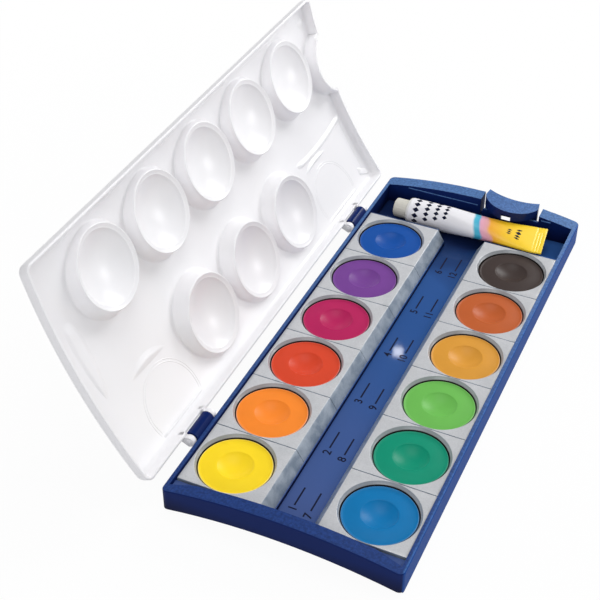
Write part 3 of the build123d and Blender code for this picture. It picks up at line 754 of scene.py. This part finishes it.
def fill(outer, holes, z_of, flip):
    """Triangles between an outer loop and holes, at the heights z_of(x); flip turns them over."""
    low, high = outer.min(0), outer.max(0)
    across, along = np.arange(low[0] + 5, high[0] - 4, NET_X), np.arange(low[1] + 5, high[1] - 4, NET_Y)
    net = np.stack(np.meshgrid(across, along, indexing="ij"), -1).reshape(-1, 2)
    keep = inside(net, outer) & (np.hypot(*(net[:, None] - outer[:, :2]).T).min(0) > FROM_EDGE)
    for hole in holes:
        keep &= np.hypot(*(net - hole[:, :2].mean(0)).T) > FROM_CUP
    net, edges, first = net[keep], [], 0
    for loop in [outer, *holes]:
        i = np.arange(len(loop))
        edges += np.column_stack([first + i, first + (i + 1) % len(loop)]).tolist()
        first += len(loop)
    flat = np.concatenate([*(loop[:, :2] for loop in [outer, *holes]), net])
    heights = np.concatenate([*(loop[:, 2] for loop in [outer, *holes]), z_of(net[:, 0])])

    found, _, tris, source, _, _ = delaunay_2d_cdt([Vector(p) for p in flat], edges, [], 0, 1e-5)
    z = [heights[old[0]] if old else z_of(v.x) for v, old in zip(found, source)]
    points, tris = np.column_stack([np.array([v[:] for v in found]), z]), np.array(tris)
    p, q, s = points[tris, :2].transpose(1, 0, 2)
    middles = points[tris, :2].mean(1)
    wanted = inside(middles, outer)
    for hole in holes:
        wanted &= ~inside(middles, hole)
    left_turn = (q - p)[:, 0] * (s - p)[:, 1] - (q - p)[:, 1] * (s - p)[:, 0] > 0
    return points, np.where((left_turn != flip)[:, None], tris, tris[:, ::-1])[wanted].tolist()


lid_parts.append(fill(rows[0], holes_in, top_in, True))
lid_parts.append(fill(rows[-1], holes_out, top_out, False))
print("crown of", len(lid_parts[-2][1]), "and", len(lid_parts[-1][1]), "triangles")

# %% [markdown]
# ## Raised marks on the crown
#
# The real moulding has low ribs, strips and ring lines, from 0.1 to 0.9 mm high, which only show as
# soft lines of light. Cutting them into the crown would break up its triangles, so each is a thin patch
# that starts 0.05 mm inside the wall and swells out of its inner side.

# %% Raised marks on the crown


def bow(start, end, bulge, n, early=1.0):
    """A bowed line: start + t (end - start), pushed to its right by 4 bulge w (1 - w) with w = t^early."""
    t = np.linspace(0, 1, n)[:, None]
    run = np.subtract(end, start)
    right = np.array([run[1], -run[0]]) / hypot(*run)
    w = t**early
    return start + t * run + right * 4 * bulge * w * (1 - w)


def swell(t, flank):
    """0 at both ends of 0..1 and 1 between them: e^2 (3 - 2 e) over flanks that wide."""
    e = np.clip(np.minimum(t, 1 - t) / flank, 0, 1)
    return e * e * (3 - 2 * e)


def relief(first, second, height, flank=0.3, taper=0.15, across=13):
    """A low swelling between two lines: p = (1 - v) a(u) + v b(u), raised by h swell(v) swell(u)."""
    u, v = np.linspace(0, 1, len(first))[:, None], np.linspace(0, 1, across)[None, :]
    xy = first[:, None, :] * (1 - v)[..., None] + second[:, None, :] * v[..., None]
    z = top_in(xy[..., 0]) + 0.05 - height * swell(v, flank) * swell(u, taper)
    return np.dstack([xy, z])


def bead(line, width, height):
    """A fine half-round bead: a swelling between the line's two sides, half the width to each."""
    along = np.gradient(line, axis=0)
    side = np.column_stack([along[:, 1], -along[:, 0]]) / np.hypot(*along.T)[:, None] * width / 2
    return relief(line - side, line + side, height + 0.05, flank=0.5, taper=0.04, across=7)


def circle_line(centre, radius, limit, n=90):
    """The part of a circle c + r (cos a, sin a) that lies within limit radians of the direction of +X."""
    a = np.linspace(-limit, limit, n)
    return np.column_stack([centre[0] + radius * np.cos(a), centre[1] + radius * np.sin(a)])


STRIPS = [  # two bowed lines, then the height, flank and taper of the swelling between them
    (((-20.2, -97.5), (-21.3, -67.5), 6.4, 30), ((-20.2, -97.5), (-21.3, -67.5), 0.0, 30), 0.5, 0.5, 0.4),
    (((-20.6, 65.5), (-19.4, 93.5), 3.7, 30), ((-20.6, 65.5), (-19.4, 93.5), 0.2, 30), 0.8, 0.5, 0.4),
    (((20.5, -112.4), (-18.2, -110), -1.6, 40), ((20, -108.6), (-18, -109), 4.6, 40, 0.7), 0.5, 0.3, 0.2),
    (((-15.5, 65.2), (-13.6, 115.5), -1.7, 44), ((-12.0, 63.5), (-9.8, 115.5), -2.0, 44), 0.9, 0.4, 0.06),
    (((-38.2, 107.8), (-43.6, 115.8), 0, 14), ((-42.6, 106.0), (-46.1, 114.6), 0, 14), 0.8, 0.25, 0.2),
    (((40.0, 107.6), (40.4, 115.6), 3.2, 16), ((40.0, 107.6), (40.4, 115.6), -3.2, 16), 0.9, 0.5, 0.5),
]
marks = [relief(bow(*first), bow(*second), *shape) for first, second, *shape in STRIPS]
marks.append(bead(bow((-13.6, 113.8), (-41.0, 111.9), 0, 20), 0.7, 0.14))
marks.append(bead(bow((44.9, -112.0), (44.9, 112.0), 0, 60), 0.7, 0.10))
for y in (-81.8, 81.8):  # two ring lines and a strip beside each end of the inner row
    marks += [bead(circle_line((-39.0, y), r, 1.98), 0.65, 0.13) for r in (17.0, 15.8)]
    strip = [bow((x, y - half), (x, y + half), 0, 20) for x, half in ((-44.6, 16.0), (-46.3, 15.6))]
    marks.append(relief(*strip, 0.35, 0.4, 0.05))
lid_parts += [(np.concatenate(loops), skin(loops, closed=False)) for loops in marks]
print(len(marks), "raised marks")

# %% [markdown]
# ## Hook and hinge lugs
#
# The lid snaps shut by a small nose on its curved wall, which catches under the window of the catch. It
# turns on two pins, and each is held by a pair of lugs: a round eye on the hinge line with a web up to
# the wall. All are profiles drawn from the side and carried along X or Y.

# %% Hook and hinge lugs
PIN_R, LUG_R, CHAMFER = 1.3, 2.4, 0.25


def hook(width):
    """The nose as seen from the side, carried across X: a flat top, a rounded tip, a slope below."""
    y = CATCH_Y - NOTCH_R
    side_on = [(y - 0.3, 14.4), (y + 1.15, 14.4), (y + 1.3, 14.25), (y + 1.3, 13.9), (y - 0.3, 12.8)]
    loops = [np.insert(side_on, 0, x, axis=1) for x in (CATCH_X - width / 2, CATCH_X + width / 2)]
    return np.concatenate(loops), skin(loops) + [[4, 3, 2, 1, 0], [5, 6, 7, 8, 9]]


def lug(y0, y1):
    """A lug's outline carried along Y; its two ends shrink towards its middle by a small chamfer."""
    t = np.linspace(-pi, 0, 17)
    eye = np.column_stack([HINGE[0] + LUG_R * np.cos(t), HINGE[1] + LUG_R * np.sin(t)])
    web = [(-49.6, 11.18), (-48.2, 11.18), (-48.2, 15.3), (-49.5, 15.3), (-54.4, 11.4)]
    shape = np.concatenate([eye, web])
    middle, n = shape.mean(0), len(shape)
    loops = [np.insert(middle + (shape - middle) * (1 - shrink / 3), 1, y, axis=1)
             for y, shrink in ((y0, CHAMFER), (y0 + CHAMFER, 0), (y1 - CHAMFER, 0), (y1, CHAMFER))]
    return np.concatenate(loops), skin(loops) + [list(range(n))[::-1], list(range(3 * n, 4 * n))]


def pin(y0, y1):
    """A round bar along Y, p = hinge + r (cos t, sin t), with chamfered ends that close in the middle."""
    t = np.linspace(0, 2 * pi, 32, endpoint=False)
    ends = ((y0, 0.0), (y0, PIN_R - 0.2), (y0 + 0.2, PIN_R), (y1 - 0.2, PIN_R), (y1, PIN_R - 0.2), (y1, 0.0))
    loops = [np.column_stack([HINGE[0] + r * np.cos(t), y + 0 * t, HINGE[1] + r * np.sin(t)])
             for y, r in ends]
    return np.concatenate(loops), skin(loops)


lid_parts.append(hook(4.2))
for y in BARRELS:
    lid_parts += [lug(y - 9.45, y - 7.05), lug(y + 7.05, y + 9.45), pin(y - 9.7, y + 9.7)]
print("hook, lugs and pins at y =", BARRELS)

# %% [markdown]
# ## The lid in one piece
#
# The parts are joined and turned open. Points that lie on each other are merged, so that light runs
# smoothly from cup to crown, and the faces' directions are worked out afresh after that.

# %% The lid in one piece
points, faces = join(lid_parts)
lid = finish_mesh("milky_lid", opened(points), faces, "lid", lid_mat, sharp=50)
bm = bmesh.new()
bm.from_mesh(lid.data)
bmesh.ops.remove_doubles(bm, verts=bm.verts, dist=0.002 * MM)
bmesh.ops.recalc_face_normals(bm, faces=bm.faces)
bm.to_mesh(lid.data)
bm.free()
lid.data.shade_smooth()
lid.data.set_sharp_from_angle(angle=radians(50))
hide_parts("lid")
print("lid with", len(lid.data.vertices), "points,", len(cups), "cups")

# %% [markdown]
# ## The tube of white
#
# A filled laminate tube is round at its shoulder and flat at its crimp. Its cross-section is a
# superellipse, |y/a|^n + |z/b|^n = 1, whose half-width a grows and half-height b shrinks along the axis,
# while n goes from 2, a circle, to 7, almost a strip. The end was folded a little askew, so the last
# sections are turned off square. A cloth or balloon simulation could give such a form, but this one is
# the same each time. All is drawn along the tube's own X axis, in millimetres, and then laid in place.

# %% The tube's frame and section
CAP_LENGTH, SHOULDER, ROUND, LENGTH = 6.8, 1.6, 21.0, 64.0
TUBE_R, CRIMP_HALF, CRIMP_THIN = 6.5, 10.1, 0.6
SKEW, ROLL, LIFT = 8.0, 1.5, 0.9  # at the flat end: degrees off square, degrees turned, mm raised
TUBE_AT, TUBE_TURN = Vector((-38.6, 98.9, 8.2)), (0.0, radians(-1.3), radians(-1.6))
SLEEVE_START = CAP_LENGTH + 0.1 + SHOULDER
turn_y, turn_z = Matrix.Rotation(TUBE_TURN[1], 4, "Y"), Matrix.Rotation(TUBE_TURN[2], 4, "Z")
lay_tube = np.array(Matrix.Translation(TUBE_AT * MM) @ turn_y @ turn_z)


def laid(points):
    """Points of the tube's own frame, in millimetres, turned and moved into the tray, in metres."""
    return np.asarray(points) * MM @ lay_tube[:3, :3].T + lay_tube[:3, 3]


def tube_section(s, a):
    """Sleeve at s along the axis and angle a: (s, w c^p, h d^p) with c = cos a, d = sin a and p = 2 / n,
    signs kept, then skewed, rolled and lifted more and more towards the flat end."""
    s, a = np.broadcast_arrays(np.asarray(s, float), np.asarray(a, float))
    t = np.clip((s - SLEEVE_START - ROUND) / (LENGTH - ROUND), 0, 1)
    wide = TUBE_R + (CRIMP_HALF - TUBE_R) * t
    thin = TUBE_R + (CRIMP_THIN - TUBE_R) * t**1.05
    power = 2 / (2 + 5 * t**10)
    y = wide * np.sign(np.cos(a)) * np.abs(np.cos(a)) ** power
    z = thin * np.sign(np.sin(a)) * np.abs(np.sin(a)) ** power
    skew, roll = np.radians(SKEW * t**2), np.radians(ROLL * t)
    x, y = s - y * np.sin(skew), y * np.cos(skew)
    c, d = np.cos(roll), np.sin(roll)
    return np.stack([x, y * c - z * d, y * d + z * c + LIFT * t**2], -1)


def about_axis(profile, segments, flute=0.0):
    """(s, r, share) turned about the tube's axis, (s, r cos a, r sin a), where r loses the share of a
    flute's depth times (1 - |cos 12 a|)^2."""
    a = np.linspace(0, 2 * pi, segments, endpoint=False)
    s, r, share = np.array(profile, float).T[:, :, None]
    r = r - flute * share * (1 - np.abs(np.cos(12 * a))) ** 2
    return np.stack([s + 0 * a, r * np.cos(a), r * np.sin(a)], -1)


print("tube frame set at", [round(v, 1) for v in TUBE_AT], "mm")

# %% [markdown]
# ## Printed laminate film
#
# Laminate tubes are printed flat before they are rolled: a glossy white film with a coloured end, which
# shows soft creases once it is filled. The pattern here is a generic one: slanting soft bands of cyan,
# rose and orange lead over to yellow. A Mapping node turns Object coordinates into the tube's own
# millimetres, and q = x + 0.42 y + 9 noise picks the colour between 0 and 80. The bands sway over 14 mm,
# and the creases are 6 mm wide.

# %% Printed laminate film
sleeve_mat, tree, shader = new_material(
    "printed laminate film", "#efeef1", Roughness=0.34, Specular_IOR_Level=0.35
)
where = add(tree, "TexCoord").outputs["Object"]
own = add(tree, "Mapping", where, TUBE_AT * MM, TUBE_TURN, (MM, MM, MM), vector_type="TEXTURE")
axes = add(tree, "SeparateXYZ", own).outputs
sway = add(tree, "TexNoise", own, Scale=0.07, Detail=1.0)
slant = add(tree, "Math", axes["Y"], 0.42, axes["X"], operation="MULTIPLY_ADD")
wavy = add(tree, "Math", sway, 9.0, slant, operation="MULTIPLY_ADD")
bands = add(tree, "ValToRGB", add(tree, "MapRange", wavy, 0.0, 80.0))
stops = [(0.0, "#f2f1f4"), (0.575, "#efeef2"), (0.59, "#4fb9d4"), (0.62, "#38aed0"), (0.632, "#e2a3bd"),
         (0.668, "#dfa2a4"), (0.685, "#f0a92e"), (0.75, "#f5c024"), (0.84, "#fbd22a"), (1.0, "#fcd935")]
for _ in stops[2:]:
    bands.color_ramp.elements.new(0.5)
for element, (place, code) in zip(bands.color_ramp.elements, stops):
    element.position, element.color = place, paint(code)
crease = add(tree, "TexNoise", own, Scale=0.16, Detail=3.0)
bump = add(tree, "Bump", Height=crease, Distance=0.5 * MM, Strength=0.18)
feed(tree, shader, Base_Color=bands, Normal=bump)
print(len(stops), "colours along the film")

# %% [markdown]
# ## The sleeve
#
# The sleeve starts with a small rolled lip over the shoulder, widens into the flat end and closes in the
# crimp, whose two folds show as grooves, 0.1 mm deep. They are the last section, squeezed to each
# groove's height and moved on square to the fold.

# %% The sleeve
RING = 80
CRIMP = ((0.15, 0.52), (0.5, 0.6), (1.4, 0.6), (1.5, 0.5), (1.7, 0.5), (1.8, 0.6), (2.7, 0.6), (2.8, 0.5),
         (3.0, 0.5), (3.1, 0.6), (4.3, 0.6), (4.45, 0.55), (4.5, 0.4))  # (way on, half the height)
lip = ((0, -TUBE_R), (0, -0.35), (0.05, -0.1), (0.3, 0), (0.9, 0), (1.1, -0.12), (1.35, -0.12))
loops = list(about_axis([(SLEEVE_START + s, TUBE_R + dr, 0) for s, dr in lip], RING))
turn = np.linspace(0, 2 * pi, RING, endpoint=False)
end = SLEEVE_START + LENGTH
loops += [tube_section(s, turn) for s in np.linspace(SLEEVE_START + 1.6, end, 90)]
for way, thin in CRIMP:
    fold = tube_section(end, turn)
    fold[:, 2] = LIFT + (fold[:, 2] - LIFT) * thin / CRIMP_THIN
    fold[:, :2] += np.array([cos(radians(SKEW)), sin(radians(SKEW))]) * way
    loops.append(fold)
loops.append(np.tile(loops[-1].mean(0), (RING, 1)))
points = laid(np.concatenate(loops))
sleeve = finish_mesh("laminate_sleeve", points, skin(loops), "tube", sleeve_mat, sharp=50)
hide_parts("tube_body")
print("sleeve", len(loops), "rings")

# %% [markdown]
# ## Rows of printed diamonds
#
# The film's print is rows of small dark diamonds, in matt ink whose tone changes over 0.3 mm. A texture
# would blur at this size, so each is a tiny patch laid on the sleeve: s = s0 + h p, a = a0 + w q, with
# |p| + |q| = 1 at its edge.

# %% Rows of printed diamonds
INK = "#10152f"
ink_mat, tree, shader = new_material("printing ink, dark blue", INK, Roughness=0.5, Specular_IOR_Level=0.1)
cloud = add(tree, "TexNoise", add(tree, "TexCoord").outputs["Object"], Scale=3 * PER_MM, Detail=1.0)
thin_ink = add(tree, "MapRange", cloud, 0.0, 1.0, 0.8, 1.25)
feed(tree, shader, Base_Color=add(tree, "HueSaturation", Color=INK, Value=thin_ink))

DIAMOND = np.array([(1, 0), (0.5, 0.5), (0, 1), (-0.5, 0.5), (-1, 0), (-0.5, -0.5), (0, -1), (0.5, -0.5)])
ROWS = [(12.4, 7, 1.7), (18.0, 6, 1.5), (23.0, 5, 1.4), (27.6, 4, 1.3), (59.5, 3, 1.2), (64.0, 4, 1.5)]


def diamond(s0, a0, size, spread):
    """One diamond, 0.05 mm proud of the sleeve, as two loops: its edge and its middle."""
    loops = []
    for scale in (1.0, 0.0):
        points = tube_section(s0 + size * DIAMOND[:, 0] * scale, a0 + spread * DIAMOND[:, 1] * scale)
        points[:, 1:] *= 1 + 0.03 / np.hypot(points[:, 1], points[:, 2])[:, None]
        points[:, 2] += 0.02
        loops.append(points)
    return np.concatenate(loops), [[p, s, r, q] for p, q, r, s in skin(loops)]


parts = []
for s0, number, size in ROWS:
    start, step, spread = (0.35, 0.27, 0.12) if s0 < 40 else (0.1, 0.12, 0.05)  # the round or the flat part
    for k in range(number):
        a0 = pi / 2 + start - (k - (number - 1) / 2) * size * step
        parts.append(diamond(s0, a0, size, size * spread))
points, faces = join(parts)
print_rows = finish_mesh("sleeve_diamonds", laid(points), faces, "tube", ink_mat)
print(len(parts), "diamonds on the sleeve")

# %% [markdown]
# ## Shoulder and fluted cap
#
# Both are moulded and turned about the tube's axis: a white polyethylene shoulder with a faint flow
# texture, drawn 2 mm wide, and an ivory polypropylene cap, cloudy over 1.4 mm. Cutting 24 flutes one by
# one would take as many steps, so the cap's radius itself dips, r = R - d (1 - |cos 12 a|)^2, and the
# dip fades out before the rounded end.

# %% Shoulder and fluted cap
IVORY = "#d3d0c6"
shoulder_mat, tree, shader = new_material("shoulder, white polyethylene", "#e8e7e4", Roughness=0.35)
flow = add(tree, "TexNoise", add(tree, "TexCoord").outputs["Object"], Scale=0.5 * PER_MM, Detail=2.0)
feed(tree, shader, Normal=add(tree, "Bump", Height=flow, Distance=0.02 * MM, Strength=0.3))
cap_mat, tree, shader = new_material("screw cap, ivory polypropylene", IVORY, Roughness=0.32)
cloud = add(tree, "TexNoise", add(tree, "TexCoord").outputs["Object"], Scale=0.7 * PER_MM, Detail=3.0)
shade = add(tree, "MapRange", cloud, 0.0, 1.0, 0.95, 1.05)
feed(tree, shader, Base_Color=add(tree, "HueSaturation", Color=IVORY, Value=shade))

NECK = [(1.25, 0, 0), (1.25, 3.0, 0), (1.35, 3.1, 0), (6.9, 3.1, 0), (6.95, 3.85, 0), (7.15, 5.55, 0),
        (7.6, 6.15, 0), (8.1, 6.35, 0), (8.5, 6.4, 0), (8.5, 0, 0)]  # (s, r, share of the flutes)
CAP = [(0, 0, 0), (0.0, 3.9, 0), (0.06, 4.2, 0), (0.25, 4.48, 0), (0.55, 4.66, 0), (0.9, 4.7, 0.3),
       (1.4, 4.7, 1), (6.2, 4.7, 1), (6.5, 4.7, 0.3), (6.7, 4.66, 0), (6.8, 4.55, 0), (6.8, 3.25, 0),
       (1.2, 3.25, 0), (1.2, 0, 0)]
loops = about_axis(NECK, 64)
points = laid(np.concatenate(loops))
shoulder = finish_mesh("tube_neck_and_shoulder", points, skin(loops), "tube", shoulder_mat)
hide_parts("tube_shoulder")
loops = about_axis(CAP, 192, flute=0.12)
cap = finish_mesh("fluted_cap", laid(np.concatenate(loops)), skin(loops), "cap", cap_mat)
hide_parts("tube_cap")
print("cap with 24 flutes")

# %% [markdown]
# ## A low wall under the catch
#
# Behind the catch's inner skin the tray's wall goes on as a low web on each side of the hook's window.
# It stands between the two skins, on the tray's sill, and stops the view under the skin. Two plain bars
# with rounded upper edges do.

# %% A low wall under the catch
WEB_Y, WEB_Z = (112.6, 113.8), (6.2, 10.2)


def bar(x0, x1, y0, y1, z0, z1, round_by=0.25):
    """A straight bar: loops of its outline, which draw in at the top along a small round."""
    loops = []
    for z, inset in ((z0, 0), (z1 - round_by, 0), (z1 - 0.3 * round_by, 0.3 * round_by), (z1, round_by)):
        xs, ys = (x0 + inset, x1 - inset), (y0 + inset, y1 - inset)
        loops.append(np.array([(xs[0], ys[0], z), (xs[1], ys[0], z), (xs[1], ys[1], z), (xs[0], ys[1], z)]))
    return np.concatenate(loops), skin(loops) + [[12, 13, 14, 15], [3, 2, 1, 0]]


points, faces = join([bar(x0, x1, *WEB_Y, *WEB_Z) for x0, x1 in ((2.3, 11.9), (16.7, 31.5))])
web = finish_mesh("web_under_catch", points * MM, faces, "tray", tray_mat)
print("web under the catch")

# %% [markdown]
# ## Numbers in the trough
#
# A plain running number stands beside each pan, with a thin rule behind it. Print has no thickness, so
# Blender's own font is turned into a flat mesh and laid a fiftieth of a millimetre over the trough's
# floor, to be read along the box. A drawn texture would need an image.

# %% Numbers in the trough
FLOOR_TOP, TEXT_HIGH, RULE_LONG, RULE_GAP = 1.6, 5.0, 10, 1.4
COLUMNS = ((1, -1.7, -101.3), (7, 5.3, -102.5))  # first number, x, y of the first number


def on_floor(flat, polygons, x, y):
    """Points (along, up) printed on the floor to read towards +Y: (x - up, y + along, floor)."""
    along, up = np.asarray(flat, float).T
    return np.column_stack([x - up, y + along, np.full(len(up), FLOOR_TOP + 0.02)]), polygons


def digits(number):
    """A number's flat mesh as points and faces, by way of a font curve that is then removed."""
    text = bpy.data.curves.new("digits", "FONT")
    text.body, text.size, text.offset = str(number), TEXT_HIGH, 0.09
    holder = bpy.data.objects.new("digits", text)
    bpy.context.scene.collection.objects.link(holder)
    bpy.context.view_layer.update()
    mesh = bpy.data.meshes.new_from_object(holder.evaluated_get(bpy.context.evaluated_depsgraph_get()))
    flat, polygons = np.empty(3 * len(mesh.vertices)), [list(f.vertices) for f in mesh.polygons]
    mesh.vertices.foreach_get("co", flat)
    bpy.data.objects.remove(holder)
    bpy.data.meshes.remove(mesh)
    return flat.reshape(-1, 3)[:, :2], polygons


parts = []
for first, x, y in COLUMNS:
    for i in range(6):
        flat, polygons = digits(first + i)
        s0 = flat[:, 0].max() + RULE_GAP
        s1 = s0 + RULE_LONG
        parts.append(on_floor(flat, polygons, x, y + PITCH * i))
        parts.append(on_floor([(s0, 1.3), (s1, 1.3), (s1, 2.0), (s0, 2.0)], [[0, 1, 2, 3]], x, y + PITCH * i))
points, faces = join(parts)
numbers = finish_mesh("trough_numbers", points * MM, faces, "tray", ink_mat, smooth=False)
print("numbers 1 to 12")
